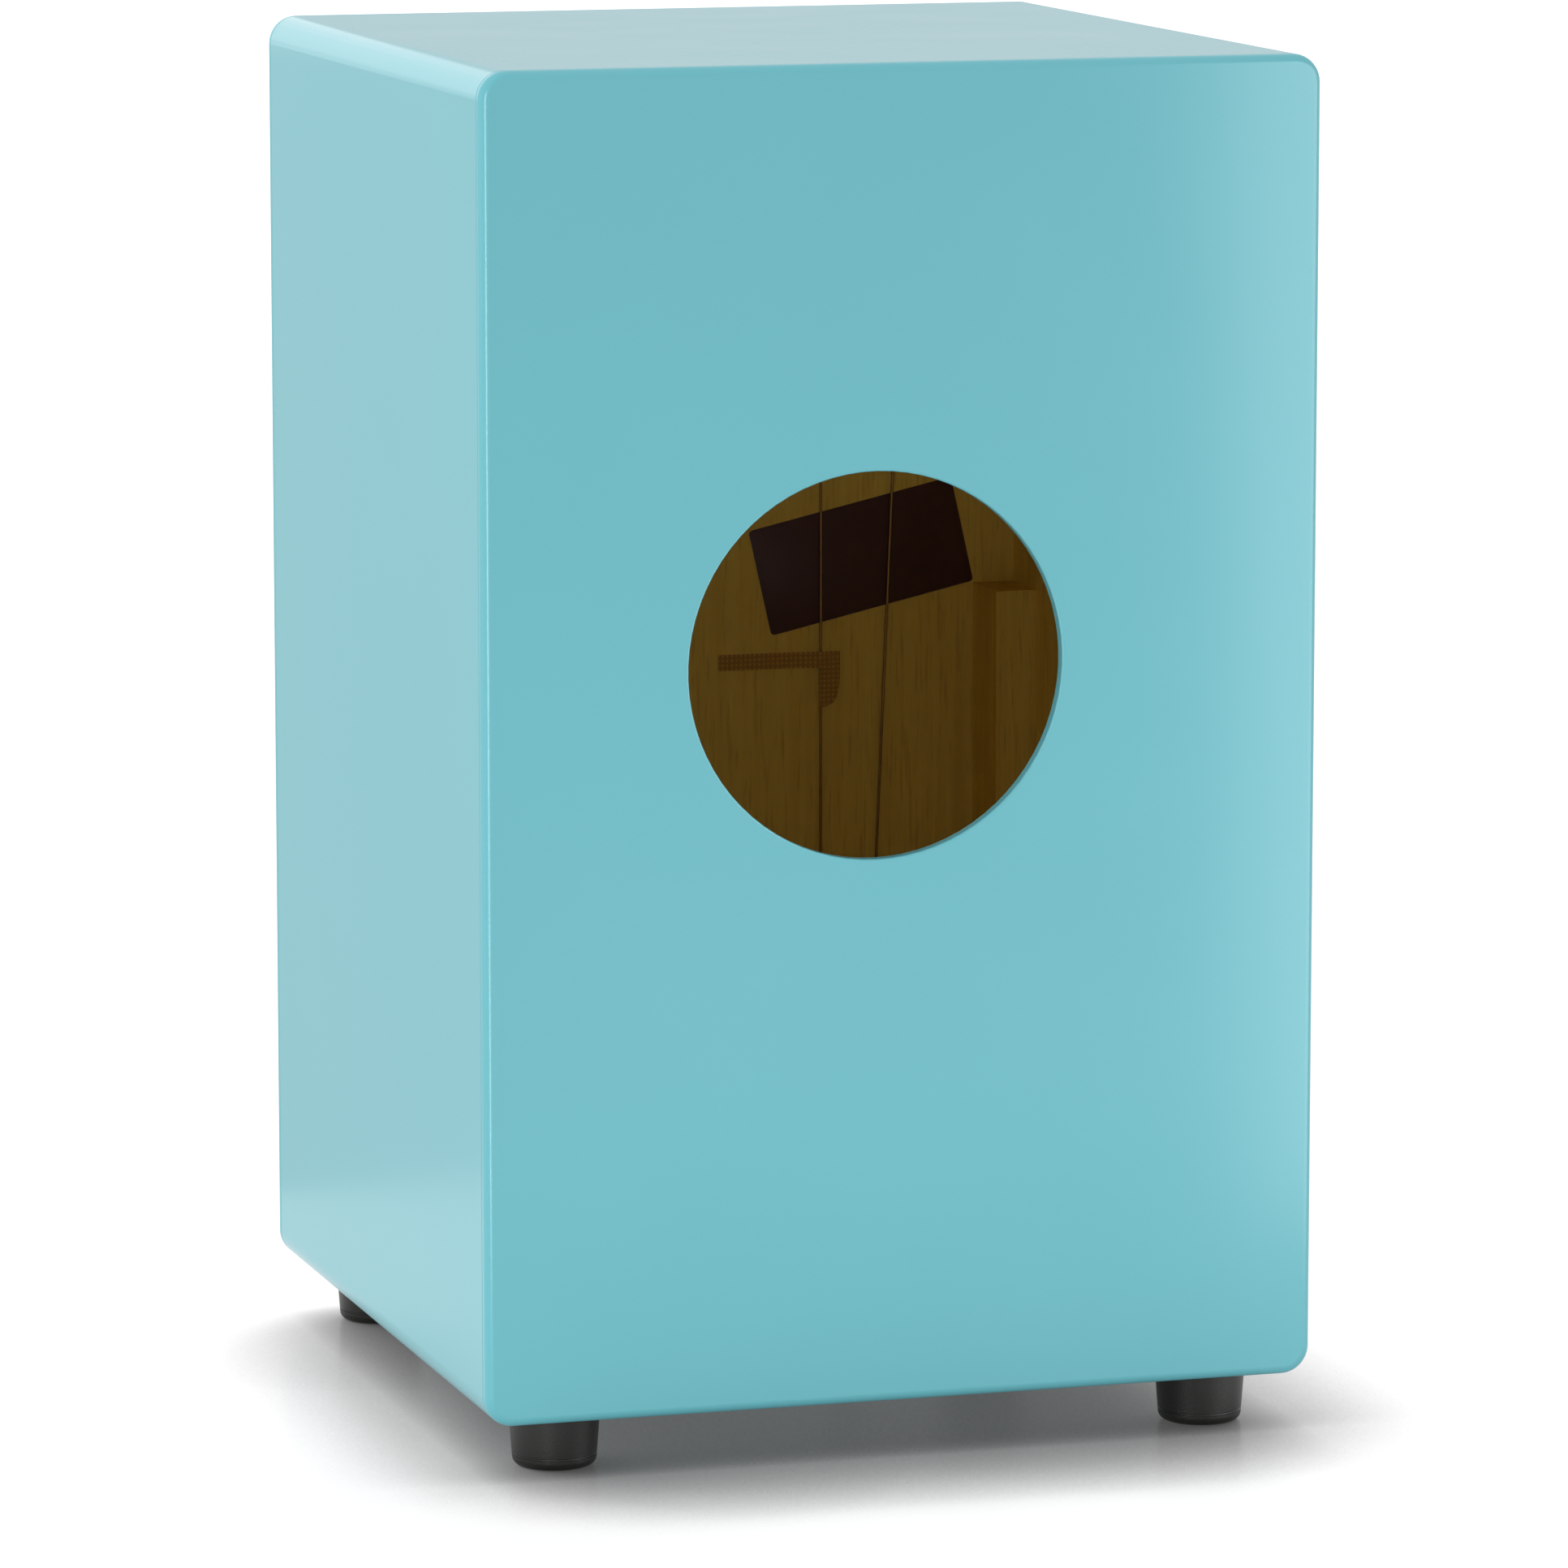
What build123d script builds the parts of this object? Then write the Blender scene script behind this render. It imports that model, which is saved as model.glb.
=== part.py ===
"""A wooden box drum (cajon): six-sided box, sound hole at the back, snare strings inside the front.

Millimetres. +Z is up and z = 0 is the floor. The player sits on top and faces -Y, so the thin
playing plate is at -Y, the panel with the sound hole at +Y, and the player's left hand at +X.
"""
from build123d import *
import math
import os

# ---------------------------------------------------------------- driving dimensions
WIDTH = 300.0
DEPTH = 300.0
BODY_HEIGHT = 464.0
FOOT_HEIGHT = 20.0
WALL = 12.0                 # sides, seat and bottom
BACK_THICKNESS = 5.0
PLATE_THICKNESS = 3.0       # the plywood that is played on
CORNER_RADIUS = 10.0        # the four long edges of the box
BACK_EDGE_ROUND = 3.2
PLATE_EDGE_ROUND = 1.0
SEAM_ROUND = 0.5            # each edge beside a painted-over seam
RUN_GAP = 0.05              # radial gap of screws in their holes
BODY_GAP = 0.3              # between pieces that move past each other

HOLE_RADIUS = 67.0
HOLE_OFFSET = 10.5          # the sound hole is off centre, towards the player's left
HOLE_HEIGHT = 278.0
HOLE_EDGE_ROUND = 0.8

BATTEN_WIDTH = 16.0         # across the playing plate
BATTEN_DEPTH = 28.0
BATTEN_TOP = 264.5          # the front battens reach half way up
GLUE_BLOCK_LEG = 18.0

FOOT_TOP_RADIUS = 16.0
FOOT_BOTTOM_RADIUS = 14.5
FOOT_EDGE_ROUND = 3.0
FOOT_INSET_X = 31.5         # foot centre from the side of the box
FOOT_INSET_Y = 27.5
FOOT_RECESS_RADIUS = 7.0
FOOT_RECESS_DEPTH = 9.0
FOOT_RING_HEIGHT = 4.2
FOOT_RING_RADIUS = 0.35

WASHER_RADIUS = 6.4
WASHER_THICKNESS = 1.0
FOOT_SCREW_RADIUS = 2.0
FOOT_SCREW_HEAD_RADIUS = 4.4
FOOT_SCREW_HEAD_HEIGHT = 3.0
FOOT_SCREW_BITE = 10.0      # depth of thread in the bottom panel

PLATE_SCREW_RADIUS = 1.75
PLATE_SCREW_HEAD_RADIUS = 3.6
PLATE_SCREW_HEAD_HEIGHT = 2.1
PLATE_SCREW_LENGTH = 22.0
ROW_SCREW_SPACING = 60.0    # along the top and bottom edges of the plate
ROW_SCREWS = 5
SIDE_SCREW_LOWEST = 62.0
SIDE_SCREW_SPACING = 84.0
SIDE_SCREWS = 5

STRING_RADIUS = 0.6
STRING_OFF_PLATE = 1.4      # string centre from the plate's inner face
INNER_STRING_X = 61.0       # the inner string of each pair hangs straight down
OUTER_STRING_LOW_X = 77.5   # the outer one leans outwards as it rises
OUTER_STRING_HIGH_X = 96.5
STRING_SLOT_HALF = 1.1

BLOCK_WIDTH = 27.0          # steel tension block that both strings of a pair are clamped in
BLOCK_DEPTH = 13.0
BLOCK_HEIGHT = 8.0
BLOCK_REST_Z = 48.0         # its middle
CLAMP_SCREW_RADIUS = 1.5
CLAMP_SCREW_LENGTH = 6.0
CLAMP_HEX = 1.5             # across flats

TUNER_RADIUS = 3.0          # M6
TUNER_LENGTH = 45.0
TUNER_HEAD_RADIUS = 5.0
TUNER_HEAD_HEIGHT = 6.0
TUNER_HEX = 5.0             # across flats
TUNER_HEX_DEPTH = 3.0
TUNER_OFF_PLATE = 7.5       # screw axis from the plate's inner face
TUNER_WASHER_RADIUS = 6.0
TUNER_WASHER_THICKNESS = 1.2

HOLDER_WIDTH = 52.0         # folded steel string holder under the seat
HOLDER_SHEET = 1.6
HOLDER_DROP = 14.0
HOLDER_SHELF = 10.6         # depth of the shelf that the ball ends sit on
HOLDER_FLANGE = 17.6
HOLDER_SCREW_SPACING = 26.0
HOLDER_SCREW_RADIUS = 1.5
HOLDER_SCREW_HEAD_RADIUS = 3.0
HOLDER_SCREW_HEAD_HEIGHT = 2.2
HOLDER_SCREW_LENGTH = 10.0
BALL_RADIUS = 2.0
BALL_LENGTH = 2.2

LABEL_WIDTH = 82.0
LABEL_HEIGHT = 41.0
LABEL_THICKNESS = 0.3
LABEL_X = -77.4
LABEL_Z = 276.2
LABEL_TILT = 12.7           # degrees, anticlockwise seen from behind

STRAP_START_X = -21.0
STRAP_RISE_X = -52.0        # where it leaves the plate to pass over the string
STRAP_OVER_X = -57.0
STRAP_END_X = -68.3
STRAP_Z = 237.6
STRAP_WIDTH = 6.0
STRAP_THICKNESS = 1.0
STRAP_DROOP = 15.4          # how far its loose end hangs below it
STRAP_DROOP_WIDTH = 8.3

# ---------------------------------------------------------------- worked-out places
LEFT, RIGHT = 1, -1         # sign of X for the player's left and right
FRONT, REAR = -1, 1
BODY_TOP = FOOT_HEIGHT + BODY_HEIGHT
BODY_MID = FOOT_HEIGHT + BODY_HEIGHT / 2
INNER_X = WIDTH / 2 - WALL
INNER_BOTTOM = FOOT_HEIGHT + WALL
INNER_TOP = BODY_TOP - WALL
PLATE_OUT = -DEPTH / 2
PLATE_IN = PLATE_OUT + PLATE_THICKNESS
BACK_OUT = DEPTH / 2
BACK_IN = BACK_OUT - BACK_THICKNESS
FOOT_X = WIDTH / 2 - FOOT_INSET_X
FOOT_Y = DEPTH / 2 - FOOT_INSET_Y
FEET = [(side, end) for side in (LEFT, RIGHT) for end in (FRONT, REAR)]
STRING_Y = PLATE_IN + STRING_OFF_PLATE
TUNER_Y = PLATE_IN + TUNER_OFF_PLATE
SHELF_TOP = INNER_TOP - HOLDER_DROP + HOLDER_SHEET


def outer_string_x(z):
    """Distance of a pair's outer string from the middle of the box, at a height."""
    rise = (z - INNER_BOTTOM) / (INNER_TOP - INNER_BOTTOM)
    return OUTER_STRING_LOW_X + (OUTER_STRING_HIGH_X - OUTER_STRING_LOW_X) * rise


TUNER_X = (INNER_STRING_X + outer_string_x(BLOCK_REST_Z)) / 2
HOLDER_X = (INNER_STRING_X + outer_string_x(SHELF_TOP)) / 2


# ---------------------------------------------------------------- shared shapes
def along_y(outline, front, back):
    """Solid of an outline drawn in X and Z, from one depth to another."""
    return Pos(0, back, 0) * Rot(90, 0, 0) * extrude(outline, back - front)


def panel_outline():
    """Full face of the box, with its rounded corners."""
    return Pos(0, BODY_MID) * RectangleRounded(WIDTH, BODY_HEIGHT, CORNER_RADIUS)


def block(x_range, y_range, z_range):
    """Plain box between two values on each axis."""
    spans = (x_range, y_range, z_range)
    size = [abs(high - low) for low, high in spans]
    middle = [(high + low) / 2 for low, high in spans]
    return Pos(*middle) * Box(*size)


def rod(radius, start, end):
    """Round rod between two points."""
    run = Vector(*end) - Vector(*start)
    plane = Plane(origin=start, z_dir=run.normalized())
    return plane * Cylinder(radius, run.length, align=(Align.CENTER, Align.CENTER, Align.MIN))


def cross_recess(span, width, depth):
    """Cross-shaped driver recess, from z = 0 up."""
    base = (Align.CENTER, Align.CENTER, Align.MIN)
    return Box(span, width, depth, align=base) + Box(width, span, depth, align=base)


def wood_screw_shank(radius, length):
    """Shank from z = 0 up, with a pointed end inside its length."""
    point = 2 * radius
    shaft = rod(radius, (0, 0, 0), (0, 0, length - point))
    base = (Align.CENTER, Align.CENTER, Align.MIN)
    return shaft + Pos(0, 0, length - point) * Cone(radius, radius / 5, point, align=base)


def pan_head_screw(radius, length, head_radius, head_height):
    """Wood screw that points up: domed head below z = 0, shank above."""
    head = rod(head_radius, (0, 0, -head_height), (0, 0, 0))
    head = fillet(head.edges().group_by(Axis.Z)[0], head_height * 0.6)
    head -= Pos(0, 0, -head_height) * cross_recess(head_radius, head_radius / 4, head_height * 0.6)
    return head + wood_screw_shank(radius, length)


# ---------------------------------------------------------------- wooden box
def plate_screw_places():
    """X, Z and edge name of every screw through the playing plate."""
    places = []
    for index in range(ROW_SCREWS):
        x = (index - (ROW_SCREWS - 1) / 2) * ROW_SCREW_SPACING
        places.append((x, BODY_TOP - WALL / 2, "top"))
        places.append((x, FOOT_HEIGHT + WALL / 2, "bottom"))
    for index in range(SIDE_SCREWS):
        z = SIDE_SCREW_LOWEST + index * SIDE_SCREW_SPACING
        places.append((WIDTH / 2 - WALL / 2, z, "left"))
        places.append((-WIDTH / 2 + WALL / 2, z, "right"))
    return places


def plate_screw(gap=0.0):
    """Countersunk screw that points along +Y from the plate's outer face; a gap makes its hole."""
    base = (Align.CENTER, Align.CENTER, Align.MIN)
    head = Cone(PLATE_SCREW_HEAD_RADIUS + gap, PLATE_SCREW_RADIUS + gap, PLATE_SCREW_HEAD_HEIGHT,
                align=base)
    screw = head + wood_screw_shank(PLATE_SCREW_RADIUS + gap, PLATE_SCREW_LENGTH + gap)
    if gap == 0:
        screw -= cross_recess(PLATE_SCREW_HEAD_RADIUS, 0.9, 1.5)
    return Pos(0, PLATE_OUT, 0) * Rot(-90, 0, 0) * screw


def plate_screws(edge):
    """All the screws along one edge of the plate."""
    screw = plate_screw()
    return [Pos(x, 0, z) * screw for x, z, name in plate_screw_places() if name == edge]


def plate_screw_holes():
    """Countersunk holes of every plate screw, as one tool to cut with."""
    hole = plate_screw(RUN_GAP)
    return [Pos(x, 0, z) * hole for x, z, _ in plate_screw_places()]


def shell():
    """Sides, seat and bottom in one ring, before it is cut at its mitres."""
    ring = along_y(panel_outline(), PLATE_IN, BACK_IN)
    ends = ring.edges().group_by(Axis.Y)
    ring = fillet(ends[0] + ends[-1], SEAM_ROUND)
    ring -= block((-INNER_X, INNER_X), (PLATE_OUT, BACK_OUT), (INNER_BOTTOM, INNER_TOP))
    return ring - plate_screw_holes()


def mitred_panel(ring, *corners):
    """The part of the ring inside a four-cornered outline in X and Z."""
    outline = make_face(Polyline(*corners, close=True))
    return ring & along_y(outline, PLATE_OUT, BACK_OUT)


def side_panel(ring, side):
    outside, inside = side * WIDTH / 2, side * INNER_X
    return mitred_panel(ring, (outside, FOOT_HEIGHT), (outside, BODY_TOP),
                        (inside, INNER_TOP), (inside, INNER_BOTTOM))


def level_panel(ring, outside, inside):
    return mitred_panel(ring, (-WIDTH / 2, outside), (WIDTH / 2, outside),
                        (INNER_X, inside), (-INNER_X, inside))


def seat_panel(ring):
    """Seat, with pilot holes for the string holders' screws."""
    return level_panel(ring, BODY_TOP, INNER_TOP) - holder_screw_holes()


def bottom_panel(ring):
    """Bottom, with pilot holes for the feet and clear holes for the tuning screws."""
    panel = level_panel(ring, FOOT_HEIGHT, INNER_BOTTOM)
    for side, end in FEET:
        place = Pos(side * FOOT_X, end * FOOT_Y, FOOT_HEIGHT)
        panel -= place * wood_screw_shank(FOOT_SCREW_RADIUS + RUN_GAP, FOOT_SCREW_BITE + RUN_GAP)
    for side in (LEFT, RIGHT):
        x = side * TUNER_X
        panel -= rod(TUNER_RADIUS + RUN_GAP, (x, TUNER_Y, 0), (x, TUNER_Y, INNER_BOTTOM + WALL))
    return panel


def back_panel():
    """Back, laid over the whole end of the box, with the round sound hole."""
    board = along_y(panel_outline(), BACK_IN, BACK_OUT)
    board = fillet(board.edges().group_by(Axis.Y)[-1], BACK_EDGE_ROUND)
    board = fillet(board.edges().group_by(Axis.Y)[0], SEAM_ROUND)
    board -= rod(HOLE_RADIUS, (HOLE_OFFSET, BACK_IN - WALL, HOLE_HEIGHT),
                 (HOLE_OFFSET, BACK_OUT + WALL, HOLE_HEIGHT))
    rims = board.edges().filter_by(lambda e: e.geom_type == GeomType.CIRCLE
                                   and math.isclose(e.radius, HOLE_RADIUS, abs_tol=0.01))
    return fillet(rims, HOLE_EDGE_ROUND)


def front_plate():
    """Thin playing plate, laid over the front end of the box."""
    board = along_y(panel_outline(), PLATE_OUT, PLATE_IN)
    board = fillet(board.edges().group_by(Axis.Y)[0], PLATE_EDGE_ROUND)
    board = fillet(board.edges().group_by(Axis.Y)[-1], SEAM_ROUND)
    return board - plate_screw_holes()


def front_batten(side):
    """Strip glued in the front corner, from the bottom to half way up."""
    return block((side * (INNER_X - BATTEN_WIDTH), side * INNER_X),
                 (PLATE_IN, PLATE_IN + BATTEN_DEPTH), (INNER_BOTTOM, BATTEN_TOP))


def glue_block(side, upper):
    """Three-cornered strip glued along the corner of a side and the seat or bottom."""
    x, z = side * INNER_X, INNER_TOP if upper else INNER_BOTTOM
    leg_x = x - side * GLUE_BLOCK_LEG
    leg_z = z - GLUE_BLOCK_LEG if upper else z + GLUE_BLOCK_LEG
    outline = make_face(Polyline((x, z), (leg_x, z), (x, leg_z), close=True))
    return along_y(outline, PLATE_IN + BATTEN_DEPTH, BACK_IN)


# ---------------------------------------------------------------- feet
def foot(side, end):
    """Tapered rubber foot with a screw recess from below and a fine moulded ring."""
    base = (Align.CENTER, Align.CENTER, Align.MIN)
    body = Cone(FOOT_BOTTOM_RADIUS, FOOT_TOP_RADIUS, FOOT_HEIGHT, align=base)
    body = fillet(body.edges().group_by(Axis.Z)[0], FOOT_EDGE_ROUND)
    taper = (FOOT_TOP_RADIUS - FOOT_BOTTOM_RADIUS) / FOOT_HEIGHT
    ring_radius = FOOT_BOTTOM_RADIUS + taper * FOOT_RING_HEIGHT
    body -= Pos(0, 0, FOOT_RING_HEIGHT) * Torus(ring_radius, FOOT_RING_RADIUS)
    body -= rod(FOOT_RECESS_RADIUS, (0, 0, -1), (0, 0, FOOT_RECESS_DEPTH))
    body -= rod(FOOT_SCREW_RADIUS + RUN_GAP, (0, 0, 0), (0, 0, FOOT_HEIGHT + 1))
    return Pos(side * FOOT_X, end * FOOT_Y, 0) * body


def foot_washers():
    """Steel washer at the top of each foot's recess."""
    low = FOOT_RECESS_DEPTH - WASHER_THICKNESS
    washer = rod(WASHER_RADIUS, (0, 0, low), (0, 0, FOOT_RECESS_DEPTH))
    washer -= rod(FOOT_SCREW_RADIUS + RUN_GAP, (0, 0, 0), (0, 0, FOOT_HEIGHT))
    return [Pos(side * FOOT_X, end * FOOT_Y, 0) * washer for side, end in FEET]


def foot_screws():
    """Screw up through each washer and foot into the bottom panel."""
    under_head = FOOT_RECESS_DEPTH - WASHER_THICKNESS
    length = FOOT_HEIGHT - under_head + FOOT_SCREW_BITE
    screw = pan_head_screw(FOOT_SCREW_RADIUS, length, FOOT_SCREW_HEAD_RADIUS,
                           FOOT_SCREW_HEAD_HEIGHT)
    return [Pos(side * FOOT_X, end * FOOT_Y, under_head) * screw for side, end in FEET]


# ---------------------------------------------------------------- snare strings
def string_places(side, z):
    """X of a pair's inner and outer string at a height."""
    return [side * INNER_STRING_X, side * outer_string_x(z)]


def holder_screw_places():
    """X, Y of the string holders' screws."""
    y = PLATE_IN + HOLDER_SHELF + HOLDER_FLANGE / 2
    return [(side * HOLDER_X + step * HOLDER_SCREW_SPACING / 2, y)
            for side in (LEFT, RIGHT) for step in (-1, 1)]


def holder_screw_holes():
    hole = wood_screw_shank(HOLDER_SCREW_RADIUS + RUN_GAP, HOLDER_SCREW_LENGTH + RUN_GAP)
    return [Pos(x, y, INNER_TOP - HOLDER_SHEET) * hole for x, y in holder_screw_places()]


def holder_screws():
    """Screws that hold the string holders to the underside of the seat."""
    screw = pan_head_screw(HOLDER_SCREW_RADIUS, HOLDER_SCREW_LENGTH, HOLDER_SCREW_HEAD_RADIUS,
                           HOLDER_SCREW_HEAD_HEIGHT)
    return [Pos(x, y, INNER_TOP - HOLDER_SHEET) * screw for x, y in holder_screw_places()]


def string_holder(side):
    """Steel sheet folded to a Z: a flange under the seat, a drop, and a slotted shelf."""
    middle = side * HOLDER_X
    x_range = (middle - HOLDER_WIDTH / 2, middle + HOLDER_WIDTH / 2)
    fold_y = PLATE_IN + HOLDER_SHELF
    shelf_low = SHELF_TOP - HOLDER_SHEET
    shelf = block(x_range, (PLATE_IN + BODY_GAP, fold_y), (shelf_low, SHELF_TOP))
    drop = block(x_range, (fold_y - HOLDER_SHEET, fold_y), (shelf_low, INNER_TOP))
    flange = block(x_range, (fold_y - HOLDER_SHEET, fold_y + HOLDER_FLANGE),
                   (INNER_TOP - HOLDER_SHEET, INNER_TOP))
    holder = shelf + drop + flange
    folds = holder.edges().filter_by(Axis.X).filter_by(
        lambda e: math.isclose(abs(e.center().Y - fold_y), 0, abs_tol=HOLDER_SHEET + 0.01))
    holder = fillet(folds, 0.7)
    for x in string_places(side, SHELF_TOP):
        slot = (x - STRING_SLOT_HALF, x + STRING_SLOT_HALF)
        holder -= block(slot, (PLATE_IN, STRING_Y + STRING_SLOT_HALF), (shelf_low - 1, SHELF_TOP + 1))
    return holder - holder_screw_holes()


def ball_ends(side):
    """Brass barrel on the upper end of each string, sitting on the holder's shelf."""
    z = SHELF_TOP + BALL_RADIUS
    return [rod(BALL_RADIUS, (x, STRING_Y - BALL_LENGTH / 2, z), (x, STRING_Y + BALL_LENGTH / 2, z))
            for x in string_places(side, z)]


def string(side, outer):
    """Wound steel string, from just under its ball end to the underside of the tension block."""
    low = BLOCK_REST_Z - BLOCK_HEIGHT / 2 - 1.5
    high = SHELF_TOP - BODY_GAP
    return rod(STRING_RADIUS, (string_places(side, low)[outer], STRING_Y, low),
               (string_places(side, high)[outer], STRING_Y, high))


def tension_block(side):
    """Steel block that slides down the plate's inner face as the tuning screw is turned in."""
    x_mid = side * TUNER_X
    y_range = (PLATE_IN + BODY_GAP, PLATE_IN + BODY_GAP + BLOCK_DEPTH)
    z_range = (BLOCK_REST_Z - BLOCK_HEIGHT / 2, BLOCK_REST_Z + BLOCK_HEIGHT / 2)
    body = block((x_mid - BLOCK_WIDTH / 2, x_mid + BLOCK_WIDTH / 2), y_range, z_range)
    body = fillet(body.edges().filter_by(Axis.Z), 1.0)
    body = chamfer(body.edges().group_by(Axis.Z)[0] + body.edges().group_by(Axis.Z)[-1], 0.4)
    body -= rod(TUNER_RADIUS + RUN_GAP, (x_mid, TUNER_Y, 0), (x_mid, TUNER_Y, 2 * BLOCK_REST_Z))
    for x in string_places(side, BLOCK_REST_Z):
        slot = (x - STRING_SLOT_HALF, x + STRING_SLOT_HALF)
        body -= block(slot, (PLATE_IN, STRING_Y + STRING_RADIUS), (0, 2 * BLOCK_REST_Z))
        body -= rod(CLAMP_SCREW_RADIUS + RUN_GAP, (x, STRING_Y, BLOCK_REST_Z),
                    (x, y_range[1] + 1, BLOCK_REST_Z))
    return body


def clamp_screws(side):
    """Headless screw behind each string, with a hexagon socket in its outer end."""
    tip = STRING_Y + STRING_RADIUS + RUN_GAP
    screws = []
    for x in string_places(side, BLOCK_REST_Z):
        screw = rod(CLAMP_SCREW_RADIUS, (x, tip, BLOCK_REST_Z),
                    (x, tip + CLAMP_SCREW_LENGTH, BLOCK_REST_Z))
        socket = extrude(RegularPolygon(CLAMP_HEX / 2, 6, major_radius=False), CLAMP_SCREW_LENGTH / 3)
        screw -= Pos(x, tip + CLAMP_SCREW_LENGTH, BLOCK_REST_Z) * Rot(90, 0, 0) * socket
        screws.append(screw)
    return screws


def tuning_screw(side):
    """Socket-head screw up through the bottom panel and the tension block's thread."""
    under_head = FOOT_HEIGHT - TUNER_WASHER_THICKNESS - RUN_GAP
    head = rod(TUNER_HEAD_RADIUS, (0, 0, under_head - TUNER_HEAD_HEIGHT), (0, 0, under_head))
    head = fillet(head.edges().group_by(Axis.Z)[0], 0.6)
    shank = rod(TUNER_RADIUS, (0, 0, under_head), (0, 0, under_head + TUNER_LENGTH))
    shank = chamfer(shank.edges().group_by(Axis.Z)[-1], 0.6)
    socket = extrude(RegularPolygon(TUNER_HEX / 2, 6, major_radius=False), TUNER_HEX_DEPTH)
    screw = head + shank - Pos(0, 0, under_head - TUNER_HEAD_HEIGHT) * socket
    return Pos(side * TUNER_X, TUNER_Y, 0) * screw


def tuning_washers():
    """Washer between each tuning screw's head and the bottom panel."""
    washer = rod(TUNER_WASHER_RADIUS, (0, 0, FOOT_HEIGHT - TUNER_WASHER_THICKNESS), (0, 0, FOOT_HEIGHT))
    washer -= rod(TUNER_RADIUS + RUN_GAP, (0, 0, 0), (0, 0, FOOT_HEIGHT + 1))
    return [Pos(side * TUNER_X, TUNER_Y, 0) * washer for side in (LEFT, RIGHT)]


# ---------------------------------------------------------------- stuck to the plate, inside
def inner_label():
    """Plain dark sticker on the plate's inner face, behind the strings."""
    sheet = Box(LABEL_WIDTH, LABEL_THICKNESS, LABEL_HEIGHT)
    return Pos(LABEL_X, PLATE_IN + LABEL_THICKNESS / 2, LABEL_Z) * Rot(0, LABEL_TILT, 0) * sheet


def damper_strap():
    """Strip of damping tape: stuck to the plate, over the inner string, with a drooping end."""
    over_y = STRING_Y + STRING_RADIUS + BODY_GAP
    low, high = STRAP_Z - STRAP_WIDTH / 2, STRAP_Z + STRAP_WIDTH / 2
    flat = block((STRAP_RISE_X, STRAP_START_X), (PLATE_IN, PLATE_IN + STRAP_THICKNESS), (low, high))
    over = block((STRAP_END_X, STRAP_OVER_X), (over_y, over_y + STRAP_THICKNESS), (low, high))
    ramp_outline = Plane.XY.offset(low) * make_face(Polyline(
        (STRAP_RISE_X, PLATE_IN), (STRAP_RISE_X, PLATE_IN + STRAP_THICKNESS),
        (STRAP_OVER_X, over_y + STRAP_THICKNESS), (STRAP_OVER_X, over_y), close=True))
    ramp = extrude(ramp_outline, STRAP_WIDTH)
    droop = block((STRAP_END_X, STRAP_END_X + STRAP_DROOP_WIDTH),
                  (over_y, over_y + STRAP_THICKNESS), (low - STRAP_DROOP, low))
    return flat + ramp + over + droop


# ---------------------------------------------------------------- one file per named piece
def pieces():
    ring = shell()
    parts = {
        "seat_panel": seat_panel(ring),
        "bottom_panel": bottom_panel(ring),
        "back_panel": back_panel(),
        "front_plate": front_plate(),
        "foot_washers": foot_washers(),
        "foot_screws": foot_screws(),
        "holder_screws": holder_screws(),
        "tuning_washers": tuning_washers(),
        "inner_label": inner_label(),
        "damper_strap": damper_strap(),
    }
    for edge in ("top", "bottom", "left", "right"):
        parts[f"plate_screws_{edge}"] = plate_screws(edge)
    for name, side in (("left", LEFT), ("right", RIGHT)):
        parts[f"{name}_side_panel"] = side_panel(ring, side)
        parts[f"front_batten_{name}"] = front_batten(side)
        parts[f"glue_block_upper_{name}"] = glue_block(side, True)
        parts[f"glue_block_lower_{name}"] = glue_block(side, False)
        parts[f"foot_front_{name}"] = foot(side, FRONT)
        parts[f"foot_rear_{name}"] = foot(side, REAR)
        parts[f"string_holder_{name}"] = string_holder(side)
        parts[f"ball_ends_{name}"] = ball_ends(side)
        parts[f"string_inner_{name}"] = string(side, outer=False)
        parts[f"string_outer_{name}"] = string(side, outer=True)
        parts[f"tension_block_{name}"] = tension_block(side)
        parts[f"clamp_screws_{name}"] = clamp_screws(side)
        parts[f"tuning_screw_{name}"] = tuning_screw(side)
    return parts


os.makedirs("parts", exist_ok=True)
for node, shape in pieces().items():
    solid = Compound(children=shape) if isinstance(shape, list) else shape
    export_step(solid, f"parts/{node}.step")
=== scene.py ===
import math

import bmesh
import bpy
from mathutils import Matrix, Vector


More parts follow.
